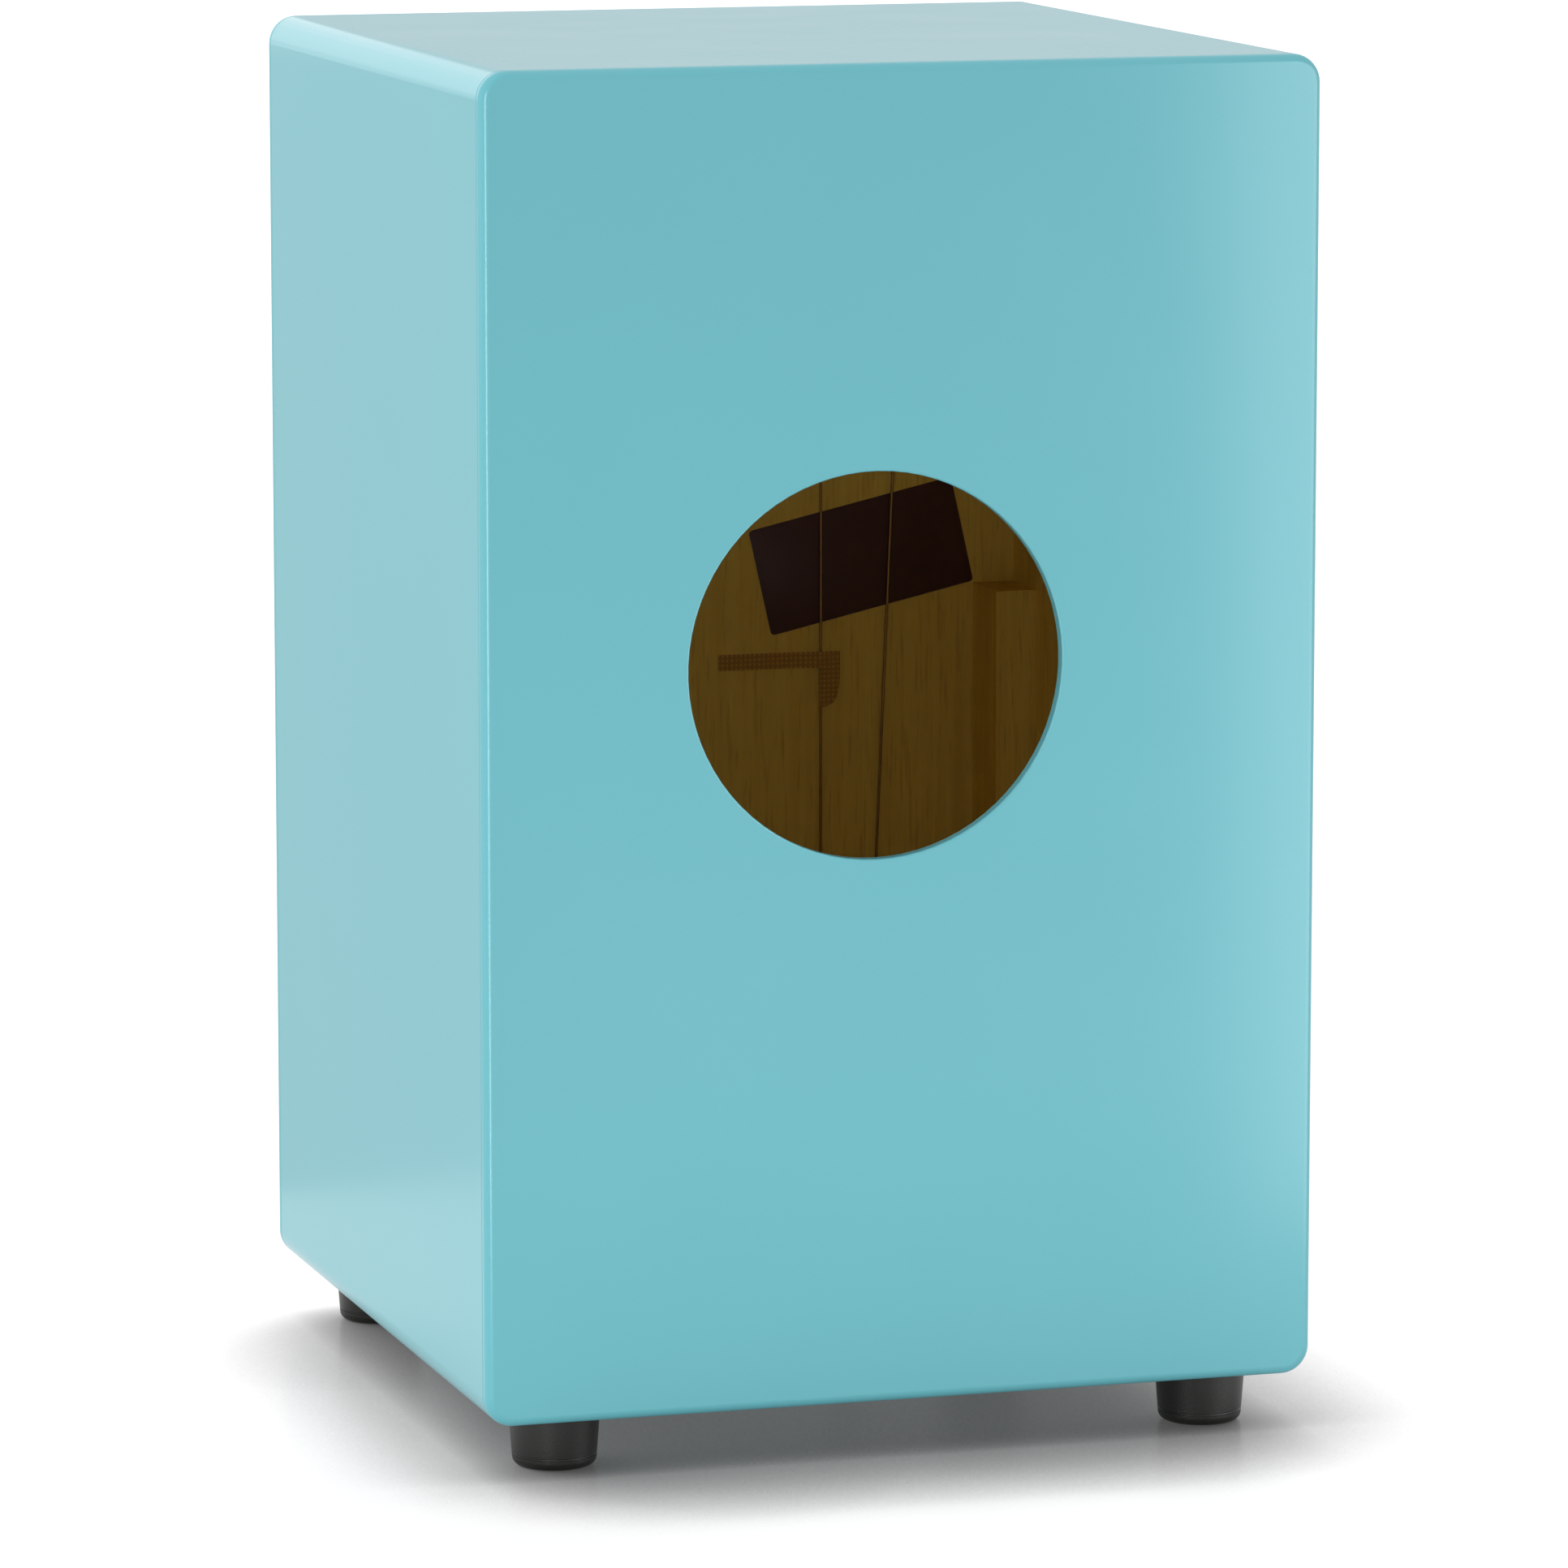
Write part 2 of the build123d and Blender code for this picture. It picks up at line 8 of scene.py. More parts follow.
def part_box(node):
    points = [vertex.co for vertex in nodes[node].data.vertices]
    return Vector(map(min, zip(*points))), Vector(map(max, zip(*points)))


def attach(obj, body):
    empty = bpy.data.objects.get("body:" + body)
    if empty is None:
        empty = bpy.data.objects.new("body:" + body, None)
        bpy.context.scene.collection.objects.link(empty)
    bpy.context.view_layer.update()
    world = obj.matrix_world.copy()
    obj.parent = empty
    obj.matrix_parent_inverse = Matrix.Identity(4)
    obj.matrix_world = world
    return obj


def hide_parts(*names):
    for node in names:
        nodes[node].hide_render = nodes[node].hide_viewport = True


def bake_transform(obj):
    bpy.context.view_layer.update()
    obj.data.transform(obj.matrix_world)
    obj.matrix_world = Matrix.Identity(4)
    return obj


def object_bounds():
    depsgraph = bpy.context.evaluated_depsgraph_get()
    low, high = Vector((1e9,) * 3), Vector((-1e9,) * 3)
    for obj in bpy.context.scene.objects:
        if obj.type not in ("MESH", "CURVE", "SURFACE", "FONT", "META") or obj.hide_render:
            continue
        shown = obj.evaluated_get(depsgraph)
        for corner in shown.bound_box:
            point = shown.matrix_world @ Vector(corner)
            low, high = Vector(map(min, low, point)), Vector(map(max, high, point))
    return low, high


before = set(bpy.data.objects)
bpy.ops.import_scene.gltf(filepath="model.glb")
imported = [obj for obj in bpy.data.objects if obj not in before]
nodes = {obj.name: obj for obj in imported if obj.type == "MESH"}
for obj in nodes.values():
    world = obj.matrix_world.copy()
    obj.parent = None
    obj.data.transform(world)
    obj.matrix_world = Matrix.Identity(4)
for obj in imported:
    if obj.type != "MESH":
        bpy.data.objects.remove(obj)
cad_low, cad_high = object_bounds()


# ------------------------------------------------------------ sides, seat and bottom
# Four 12 mm birch plywood boards, mitred and glued into a ring. The outside is filled, sanded and
# sprayed with satin turquoise lacquer once the box is together, and the inside stays bare.
PAINT = "#5ca6b0"
PAINT_DEEP = "#5aa4ae"
PLY_LIGHT = "#e9cd60"
PLY_DARK = "#e0c054"
PLY_PORE = "#cfab4c"
PEEL_SIZE = 0.0022          # orange peel of sprayed lacquer
PEEL_HEIGHT = 0.0000012
RIPPLE_SIZE = 0.060         # slow waves left by sanding
RIPPLE_HEIGHT = 0.000006
PAINT_ROUGHNESS = (0.20, 0.22)
PAINT_CREEP = 0.0001        # how far the paint laps over the rim of an inner face
GRAIN_LENGTH = 0.160
GRAIN_WIDTH = 0.005
GRAIN_HEIGHT = 0.00012
GRAIN_PORE_LENGTH = 0.018
GRAIN_PORE_WIDTH = 0.0011   # real pores are 0.1 mm, too fine to show, so they are drawn wider
BARE_ROUGHNESS = 0.7

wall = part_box("left_side_panel")[1][0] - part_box("front_batten_left")[1][0]


def linear(hex_code, alpha=1.0):
    """An sRGB hex colour as the linear colour that a shader takes."""
    channels = [int(hex_code[i:i + 2], 16) / 255 for i in (1, 3, 5)]
    return [c / 12.92 if c <= 0.04045 else ((c + 0.055) / 1.055) ** 2.4 for c in channels] + [alpha]


def new_material(name):
    """An empty node material with only its output."""
    material = bpy.data.materials.new(name)
    material.use_nodes = True
    material.node_tree.nodes.clear()
    material.node_tree.nodes.new("ShaderNodeOutputMaterial")
    return material


def add_node(material, kind, inputs=None, **settings):
    """Adds one node, applies its settings, and gives its inputs a value or another node's output."""
    tree = material.node_tree
    node = tree.nodes.new("ShaderNode" + kind)
    for name, value in settings.items():
        setattr(node, name, value)
    for name, value in (inputs or {}).items():
        if isinstance(value, bpy.types.NodeSocket):
            tree.links.new(value, node.inputs[name])
        else:
            node.inputs[name].default_value = value
    return node


def surface(material, **inputs):
    """Joins a Principled shader to the material's output. Input names are written with _ for a space."""
    sockets = {name.replace("_", " "): value for name, value in inputs.items()}
    shader = add_node(material, "BsdfPrincipled", sockets)
    output = material.node_tree.nodes["Material Output"]
    material.node_tree.links.new(shader.outputs["BSDF"], output.inputs["Surface"])
    return material


def object_point(material, scale=(1, 1, 1)):
    """Place on the piece in the object's own metres, scaled along each axis."""
    place = add_node(material, "TexCoord").outputs["Object"]
    return add_node(material, "Mapping", {"Vector": place, "Scale": scale}).outputs["Vector"]


def stretched(length, width, axis):
    """Scale of a pattern that is long along one axis and narrow across it."""
    return [1 / length if i == axis else 1 / width for i in range(3)]


def plywood_grain(material, axis, light, dark, pore):
    """Colour and height of bare wood with its grain along an axis: soft figure and short pores."""
    figure = add_node(material, "TexNoise", {
        "Vector": object_point(material, stretched(GRAIN_LENGTH, GRAIN_WIDTH, axis)),
        "Scale": 1.0, "Detail": 5.0, "Roughness": 0.62, "Distortion": 0.35})
    tone = add_node(material, "MapRange", {
        "Value": figure.outputs["Fac"], "From Min": 0.34, "From Max": 0.66})
    wood = add_node(material, "Mix", {
        0: tone.outputs["Result"], 6: linear(dark), 7: linear(light)}, data_type="RGBA")
    pores = add_node(material, "TexNoise", {
        "Vector": object_point(material, stretched(GRAIN_PORE_LENGTH, GRAIN_PORE_WIDTH, axis)),
        "Scale": 1.0, "Detail": 2.0, "Roughness": 0.5})
    depth = add_node(material, "MapRange", {
        "Value": pores.outputs["Fac"], "From Min": 0.56, "From Max": 0.72, "To Max": 0.7})
    colour = add_node(material, "Mix", {
        0: depth.outputs["Result"], 6: wood.outputs[2], 7: linear(pore)}, data_type="RGBA")
    height = add_node(material, "Math", {
        0: tone.outputs["Result"], 1: depth.outputs["Result"]}, operation="SUBTRACT")
    return colour.outputs[2], height.outputs["Value"]


def inside_mask(material, low, high):
    """1 inside a box between two corners and 0 outside it, at each place on the piece."""
    axes = add_node(material, "SeparateXYZ", {"Vector": object_point(material)})
    mask = None
    for axis, name in enumerate("XYZ"):
        middle, half = (low[axis] + high[axis]) / 2, (high[axis] - low[axis]) / 2
        offset = add_node(material, "Math", {0: axes.outputs[name], 1: middle}, operation="SUBTRACT")
        distance = add_node(material, "Math", {0: offset.outputs["Value"]}, operation="ABSOLUTE")
        near = add_node(material, "Math", {0: distance.outputs["Value"], 1: half},
                        operation="LESS_THAN").outputs["Value"]
        if mask is None:
            mask = near
        else:
            mask = add_node(material, "Math", {0: mask, 1: near}, operation="MULTIPLY").outputs["Value"]
    return mask


def lacquered_plywood(name, axis):
    """Satin lacquer gives a soft even gloss with fine orange peel; bare wood inside shows its grain."""
    material = new_material(name)
    room_low = [cad_low[0] + wall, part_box("front_plate")[1][1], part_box("bottom_panel")[0][2] + wall]
    room_high = [cad_high[0] - wall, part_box("back_panel")[0][1], cad_high[2] - wall]
    inside = inside_mask(material, [edge - PAINT_CREEP for edge in room_low],
                         [edge + PAINT_CREEP for edge in room_high])
    ripple = add_node(material, "TexNoise", {
        "Vector": object_point(material), "Scale": 1 / RIPPLE_SIZE, "Detail": 1.0})
    paint = add_node(material, "Mix", {
        0: ripple.outputs["Fac"], 6: linear(PAINT_DEEP), 7: linear(PAINT)}, data_type="RGBA")
    gloss = add_node(material, "MapRange", {
        "Value": ripple.outputs["Fac"], "From Min": 0.3, "From Max": 0.7,
        "To Min": PAINT_ROUGHNESS[0], "To Max": PAINT_ROUGHNESS[1]})
    wood, wood_height = plywood_grain(material, axis, PLY_LIGHT, PLY_DARK, PLY_PORE)
    colour = add_node(material, "Mix", {0: inside, 6: paint.outputs[2], 7: wood}, data_type="RGBA")
    roughness = add_node(material, "Mix", {0: inside, 2: gloss.outputs["Result"], 3: BARE_ROUGHNESS})
    peel = add_node(material, "TexNoise", {
        "Vector": object_point(material), "Scale": 1 / PEEL_SIZE, "Detail": 1.0})
    sprayed = add_node(material, "Bump", {
        "Height": ripple.outputs["Fac"], "Distance": RIPPLE_HEIGHT, "Strength": 1.0})
    sprayed = add_node(material, "Bump", {
        "Height": peel.outputs["Fac"], "Distance": PEEL_HEIGHT, "Strength": 1.0,
        "Normal": sprayed.outputs["Normal"]})
    grained = add_node(material, "Bump", {
        "Height": wood_height, "Distance": GRAIN_HEIGHT, "Strength": 1.0})
    normal = add_node(material, "Mix", {
        0: inside, 4: sprayed.outputs["Normal"], 5: grained.outputs["Normal"]}, data_type="VECTOR")
    return surface(material, Base_Color=colour.outputs[2], Roughness=roughness.outputs[0],
                   Normal=normal.outputs[1], IOR=1.5)


def dress(material, *names):
    """Gives CAD pieces their material."""
    for name in names:
        nodes[name].material_slots[0].material = material


upright_board = lacquered_plywood("lacquered_plywood_upright_grain", 2)
level_board = lacquered_plywood("lacquered_plywood_level_grain", 0)
dress(upright_board, "left_side_panel", "right_side_panel")
dress(level_board, "seat_panel", "bottom_panel")


# ------------------------------------------------------------ back panel
# 5 mm plywood laid over the whole rear end of the ring, its outer edge rounded over and its round
# sound hole sprayed through, so that the wall of the hole carries the paint too.
dress(upright_board, "back_panel")


# ------------------------------------------------------------ playing plate
# 3 mm plywood screwed over the front end, sprayed like the rest outside and bare behind.
dress(upright_board, "front_plate")


# ------------------------------------------------------------ battens and glue blocks
# Planed pine strips glued in the inner corners: square ones in the two front corners, and
# three-cornered ones under the seat and on the bottom.
PINE_LIGHT = "#e7ca5c"
PINE_DARK = "#ddbc50"
PINE_PORE = "#cca84c"
PINE_GRAIN_HEIGHT = 0.0001
PINE_ROUGHNESS = 0.68


def planed_pine(name, axis):
    """Planed softwood is as yellow as the bare plywood, and quite dull."""
    material = new_material(name)
    colour, height = plywood_grain(material, axis, PINE_LIGHT, PINE_DARK, PINE_PORE)
    bump = add_node(material, "Bump", {
        "Height": height, "Distance": PINE_GRAIN_HEIGHT, "Strength": 1.0})
    return surface(material, Base_Color=colour, Roughness=PINE_ROUGHNESS,
                   Normal=bump.outputs["Normal"])


upright_pine = planed_pine("planed_pine_upright", 2)
level_pine = planed_pine("planed_pine_level", 1)
for side in ("left", "right"):
    dress(upright_pine, f"front_batten_{side}")
    dress(level_pine, f"glue_block_upper_{side}", f"glue_block_lower_{side}")


# ------------------------------------------------------------ feet
# Four moulded black rubber feet, tapered, with a fine ring near the ground.
RUBBER = "#10100d"
RUBBER_BLOOM = "#181915"
RUBBER_BLOOM_SCALE = 90.0
RUBBER_GRIT = 0.0008        # spark-eroded mould finish
RUBBER_GRIT_HEIGHT = 0.00006
RUBBER_ROUGHNESS = (0.32, 0.5)


def moulded_rubber():
    """Carbon-black rubber is never quite black: a grey bloom and a fine matt grit catch the light."""
    material = new_material("moulded_rubber")
    bloom = add_node(material, "TexNoise", {
        "Vector": object_point(material), "Scale": RUBBER_BLOOM_SCALE, "Detail": 4.0,
        "Roughness": 0.6})
    colour = add_node(material, "Mix", {
        0: bloom.outputs["Fac"], 6: linear(RUBBER), 7: linear(RUBBER_BLOOM)}, data_type="RGBA")
    grit = add_node(material, "TexNoise", {
        "Vector": object_point(material), "Scale": 1 / RUBBER_GRIT, "Detail": 2.0})
    bump = add_node(material, "Bump", {
        "Height": grit.outputs["Fac"], "Distance": RUBBER_GRIT_HEIGHT, "Strength": 0.8})
    roughness = add_node(material, "MapRange", {
        "Value": bloom.outputs["Fac"],
        "To Min": RUBBER_ROUGHNESS[0], "To Max": RUBBER_ROUGHNESS[1]})
    return surface(material, Base_Color=colour.outputs[2], Roughness=roughness.outputs["Result"],
                   Normal=bump.outputs["Normal"], IOR=1.52)


rubber = moulded_rubber()
for side in ("left", "right"):
    dress(rubber, f"foot_front_{side}", f"foot_rear_{side}")


# ------------------------------------------------------------ screws and washers
# Zinc-plated washers and screws in the feet and holders, blackened screws round the plate.
ZINC = "#c3c7ca"
ZINC_BLUE = "#b3bcc6"
BLACK_STEEL = "#2b2b2d"
BLACK_STEEL_WORN = "#4a4846"
METAL_UNEVENNESS = 0.00003


def plated_metal(name, base, cast, rough_low, rough_high, cell):
    """A plated or blackened metal: one hue with a faint cast in patches and uneven gloss."""
    material = new_material(name)
    patches = add_node(material, "TexNoise", {
        "Vector": object_point(material), "Scale": 1 / cell, "Detail": 4.0, "Roughness": 0.6})
    colour = add_node(material, "Mix", {
        0: patches.outputs["Fac"], 6: linear(base), 7: linear(cast)}, data_type="RGBA")
    roughness = add_node(material, "MapRange", {
        "Value": patches.outputs["Fac"], "From Min": 0.3, "From Max": 0.7,
        "To Min": rough_low, "To Max": rough_high})
    bump = add_node(material, "Bump", {
        "Height": patches.outputs["Fac"], "Distance": METAL_UNEVENNESS, "Strength": 0.6})
    return surface(material, Base_Color=colour.outputs[2], Roughness=roughness.outputs["Result"],
                   Normal=bump.outputs["Normal"], Metallic=1.0)


zinc_plate = plated_metal("zinc_plated_steel", ZINC, ZINC_BLUE, 0.26, 0.42, 0.004)
black_screw = plated_metal("blackened_screw_steel", BLACK_STEEL, BLACK_STEEL_WORN, 0.38, 0.55, 0.002)
black_oxide = plated_metal("black_oxide_steel", BLACK_STEEL, BLACK_STEEL_WORN, 0.3, 0.45, 0.003)
dress(zinc_plate, "foot_washers", "foot_screws", "holder_screws", "tuning_washers")
for edge in ("top", "bottom", "left", "right"):
    dress(black_screw, f"plate_screws_{edge}")


# ------------------------------------------------------------ string holders and tension blocks
# A holder folded from zinc-plated steel under the seat, and below it a plated steel block that
# slides down behind the playing plate. Headless screws clamp the strings in the block.
for side in ("left", "right"):
    dress(zinc_plate, f"string_holder_{side}", f"tension_block_{side}")
    dress(black_oxide, f"clamp_screws_{side}")


# ------------------------------------------------------------ tuning screws
# M6 socket-head screws of blackened steel, with a knurled head under the bottom panel. The rolled
# thread runs up through the tension block and draws it down.
HEAD_HEIGHT = 0.006
HEAD_EDGE = 0.0005
HEAD_RIDGES = 40
RIDGE_DEPTH = 0.00012
SOCKET_ACROSS = 0.005
SOCKET_DEPTH = 0.003
SHANK_SHARE = 0.3           # radius over the thread, against the width of the head
SHANK_EDGE = 0.0006
SHANK_SINK = 0.0002         # how far the shank reaches into the head
THREAD_PITCH = 0.001
THREAD_DEPTH = 0.0005
THREAD_FLANK = math.radians(30)
THREAD_RISE = 1.1           # start of the crest, against the height of one flank
THREAD_FALL = 1.6           # end of the crest, counted the same way down from the next turn
THREAD_SHARE = 0.86         # share of the pitch that a turn takes up
THREAD_STEPS = 24
CREASE_ANGLE = math.radians(35)
WELD_DISTANCE = 0.000002


def edit_mesh(piece):
    """Puts a piece in edit mode with nothing selected, and returns its mesh."""
    bpy.context.view_layer.objects.active = piece
    bpy.ops.object.mode_set(mode="EDIT")
    bpy.ops.mesh.select_mode(type="VERT")
    bpy.ops.mesh.select_all(action="DESELECT")
    return bmesh.from_edit_mesh(piece.data)


def pick(piece, mesh, chosen):
    """Selects the vertices that a test says yes to, and the edges and faces between them."""
    for vertex in mesh.verts:
        vertex.select = chosen(vertex.co)
    mesh.select_flush(True)
    bmesh.update_edit_mesh(piece.data)


def started(name):
    """Names the primitive that was just added and fixes its place in its mesh."""
    piece = bpy.context.object
    piece.name = name
    piece.data.name = name
    bpy.ops.object.transform_apply(location=True, rotation=True, scale=True)
    return piece


def finished(piece, material, body, slot, *replaced):
    """Cleans a piece's mesh, smooths it, and gives it its material and body; the slot argument is not
    used.
    """
    edit_mesh(piece)
    bpy.ops.mesh.select_all(action="SELECT")
    bpy.ops.mesh.remove_doubles(threshold=WELD_DISTANCE)
    bpy.ops.mesh.normals_make_consistent(inside=False)
    bpy.ops.object.mode_set(mode="OBJECT")
    bpy.ops.object.select_all(action="DESELECT")
    piece.select_set(True)
    bpy.ops.object.shade_smooth_by_angle(angle=CREASE_ANGLE)
    piece.data.materials.clear()
    piece.data.materials.append(material)
    if body:
        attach(piece, body)
    if replaced:
        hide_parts(*replaced)
    return piece


def joined(*pieces):
    """Makes several pieces one, named as the first."""
    bpy.ops.object.select_all(action="DESELECT")
    for piece in pieces:
        piece.select_set(True)
    bpy.context.view_layer.objects.active = pieces[0]
    bpy.ops.object.join()
    return pieces[0]


def apply_modifier(piece, kind, **settings):
    """Adds one modifier, sets it and applies it."""
    bpy.ops.object.select_all(action="DESELECT")
    piece.select_set(True)
    bpy.context.view_layer.objects.active = piece
    modifier = piece.modifiers.new(kind.lower(), kind)
    for name, value in settings.items():
        setattr(modifier, name, value)
    bpy.ops.object.modifier_apply(modifier=modifier.name)


def screw_head(axis_x, axis_y, low, radius):
    """Knurled round head with a hexagon socket from below."""
    middle = (axis_x, axis_y, low + HEAD_HEIGHT / 2)
    bpy.ops.object.select_all(action="DESELECT")
    bpy.ops.mesh.primitive_cylinder_add(vertices=HEAD_RIDGES * 2, radius=radius, depth=HEAD_HEIGHT,
                                        location=middle)
    head = started("screw_head")
    apply_modifier(head, "BEVEL", width=HEAD_EDGE, segments=3, limit_method="ANGLE")
    mesh = edit_mesh(head)

    def in_a_valley(place):
        turn = math.atan2(place.y - axis_y, place.x - axis_x) / math.tau * HEAD_RIDGES * 2
        return round(turn) % 2 == 1 and abs(place.z - middle[2]) < HEAD_HEIGHT / 2 - HEAD_EDGE / 2
    pick(head, mesh, in_a_valley)
    shrink = 1 - RIDGE_DEPTH / radius
    bpy.ops.transform.resize(value=(shrink, shrink, 1), center_override=middle)
    bpy.ops.object.mode_set(mode="OBJECT")
    bpy.ops.object.select_all(action="DESELECT")
    bpy.ops.mesh.primitive_cylinder_add(vertices=6, radius=SOCKET_ACROSS / math.sqrt(3),
                                        depth=SOCKET_DEPTH * 2, location=(axis_x, axis_y, low))
    socket = started("socket")
    apply_modifier(head, "BOOLEAN", object=socket, operation="DIFFERENCE", solver="EXACT")
    bpy.data.objects.remove(socket)
    return head


def threaded_shank(axis_x, axis_y, low, high, radius):
    """Round core with a rolled thread wound round it."""
    core_radius = radius - THREAD_DEPTH
    bpy.ops.object.select_all(action="DESELECT")
    bpy.ops.mesh.primitive_cylinder_add(vertices=THREAD_STEPS * 2, radius=core_radius,
                                        depth=high - low, location=(axis_x, axis_y, (low + high) / 2))
    core = started("shank_core")
    apply_modifier(core, "BEVEL", width=SHANK_EDGE, segments=2, limit_method="ANGLE")
    bpy.ops.object.select_all(action="DESELECT")
    bpy.ops.mesh.primitive_plane_add(size=THREAD_PITCH, location=(axis_x, axis_y, low))
    thread = bpy.context.object
    flank = THREAD_DEPTH * math.tan(THREAD_FLANK)
    root = core_radius - THREAD_DEPTH / 10
    crest_start = flank * THREAD_RISE
    crest_end = THREAD_PITCH - flank * THREAD_FALL
    turn_end = THREAD_PITCH * THREAD_SHARE
    outline = [(root, 0), (radius, crest_start), (radius, crest_end), (root, turn_end)]
    mesh = edit_mesh(thread)
    for vertex, (across, up) in zip(mesh.verts, outline):
        vertex.co = (across, 0, up)
    for edge in list(mesh.edges):
        mesh.edges.remove(edge)
    for first, second in zip(list(mesh.verts), list(mesh.verts)[1:]):
        mesh.edges.new((first, second))
    bmesh.update_edit_mesh(thread.data)
    bpy.ops.object.mode_set(mode="OBJECT")
    turns = int((high - low) / THREAD_PITCH) - 1
    apply_modifier(thread, "SCREW", axis="Z", screw_offset=THREAD_PITCH, iterations=turns,
                   steps=THREAD_STEPS, render_steps=THREAD_STEPS, use_merge_vertices=True)
    bpy.ops.object.transform_apply(location=True)
    return joined(core, thread)


for side in ("left", "right"):
    screw_low, screw_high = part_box(f"tuning_screw_{side}")
    head_width = screw_high[0] - screw_low[0]
    axis_x = (screw_low[0] + screw_high[0]) / 2
    axis_y = (screw_low[1] + screw_high[1]) / 2
    shank_low = screw_low[2] + HEAD_HEIGHT - SHANK_SINK
    head = screw_head(axis_x, axis_y, screw_low[2], head_width / 2)
    shank = threaded_shank(axis_x, axis_y, shank_low, screw_high[2], head_width * SHANK_SHARE)
    screw = joined(head, shank)
    screw.name = f"threaded_tuning_screw_{side}"
    finished(screw, black_oxide, f"tuner_{side}", "black_oxide_steel", f"tuning_screw_{side}")


# ------------------------------------------------------------ snare strings
# Four guitar-type strings, steel wire wound on a steel core, dull brown with age. Each is twisted
# back on itself under its ball end and clamped in the tension block at the bottom.
WIRE_BRIGHT = "#b79b68"
WIRE_DULL = "#8e764a"
WINDING_PITCH = 0.0008      # real winding is 0.25 mm, too fine to show, so the turns are drawn wider
TWIST_PITCH = 0.0016
TWIST_LENGTH = 0.012
TWIST_SWELL = 1.45          # radius over the twist, against the radius of the string
WINDING_SIDES = 10
WINDING_GROOVE = 0.82       # radius between two turns, against the radius over a turn
TURN_GAP = 0.00001          # ends of two turns that are nearer than this are welded

string_wire = plated_metal("wound_string_wire", WIRE_DULL, WIRE_BRIGHT, 0.38, 0.55, 0.006)


def winding(name, radius, pitch, low, high):
    """A row of wire turns between two points, each a short ring with a swollen middle."""
    turns = round((high - low).length / pitch)
    step = (high - low) / turns
    bpy.ops.object.select_all(action="DESELECT")
    bpy.ops.mesh.primitive_cylinder_add(
        vertices=WINDING_SIDES, radius=radius * WINDING_GROOVE, depth=step.z,
        end_fill_type="NOTHING", location=low + Vector((0, 0, step.z / 2)))
    turn = started(name)
    mesh = edit_mesh(turn)
    for edge in mesh.edges:
        edge.select = abs(edge.verts[0].co.z - edge.verts[1].co.z) > step.z / 2
    bmesh.update_edit_mesh(turn.data)
    bpy.ops.mesh.subdivide(number_cuts=1)
    mesh = bmesh.from_edit_mesh(turn.data)
    middle = low + Vector((0, 0, step.z / 2))
    pick(turn, mesh, lambda place: abs(place.z - middle.z) < step.z / 8)
    bpy.ops.transform.resize(value=(1 / WINDING_GROOVE, 1 / WINDING_GROOVE, 1), center_override=middle)
    bpy.ops.object.mode_set(mode="OBJECT")
    apply_modifier(turn, "ARRAY", count=turns, use_relative_offset=False, use_constant_offset=True,
                   constant_offset_displace=step, use_merge_vertices=True,
                   merge_threshold=abs(step.x) + TURN_GAP)
    return turn


for side in ("left", "right"):
    for place in ("inner", "outer"):
        node = f"string_{place}_{side}"
        low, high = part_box(node)
        radius = (high.y - low.y) / 2
        low_x, high_x = sorted((low.x + radius, high.x - radius), key=abs)
        foot_end = Vector((low_x, low.y + radius, low.z))
        ball_end = Vector((high_x, low.y + radius, high.z))
        lock_start = ball_end + (foot_end - ball_end).normalized() * TWIST_LENGTH
        string = winding(f"wound_string_{place}_{side}", radius, WINDING_PITCH, foot_end, lock_start)
        lock = winding("twisted_end", radius * TWIST_SWELL, TWIST_PITCH, lock_start, ball_end)
        string = joined(string, lock)
        finished(string, string_wire, None, "string_wire", node)
        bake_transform(string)


# ------------------------------------------------------------ ball ends
# Turned brass barrels that sit on the holders' shelves, each with a hole along its axis and a
# groove round its middle that the string's loop lies in.
BRASS = "#b08d4c"
BRASS_TARNISH = "#8c6c38"
BALL_HOLE = 0.0008
BALL_EDGE = 0.00012
BALL_GROOVE = 0.8           # radius in the groove, against the radius of the barrel
GROOVE_REACH = 0.2          # how far the groove goes either way, against the barrel's length
BALL_SIDES = 32
LOOP_WIRE = 0.0003
LOOP_SEAT = 0.8             # how far the loop stands off the groove, against its wire's radius

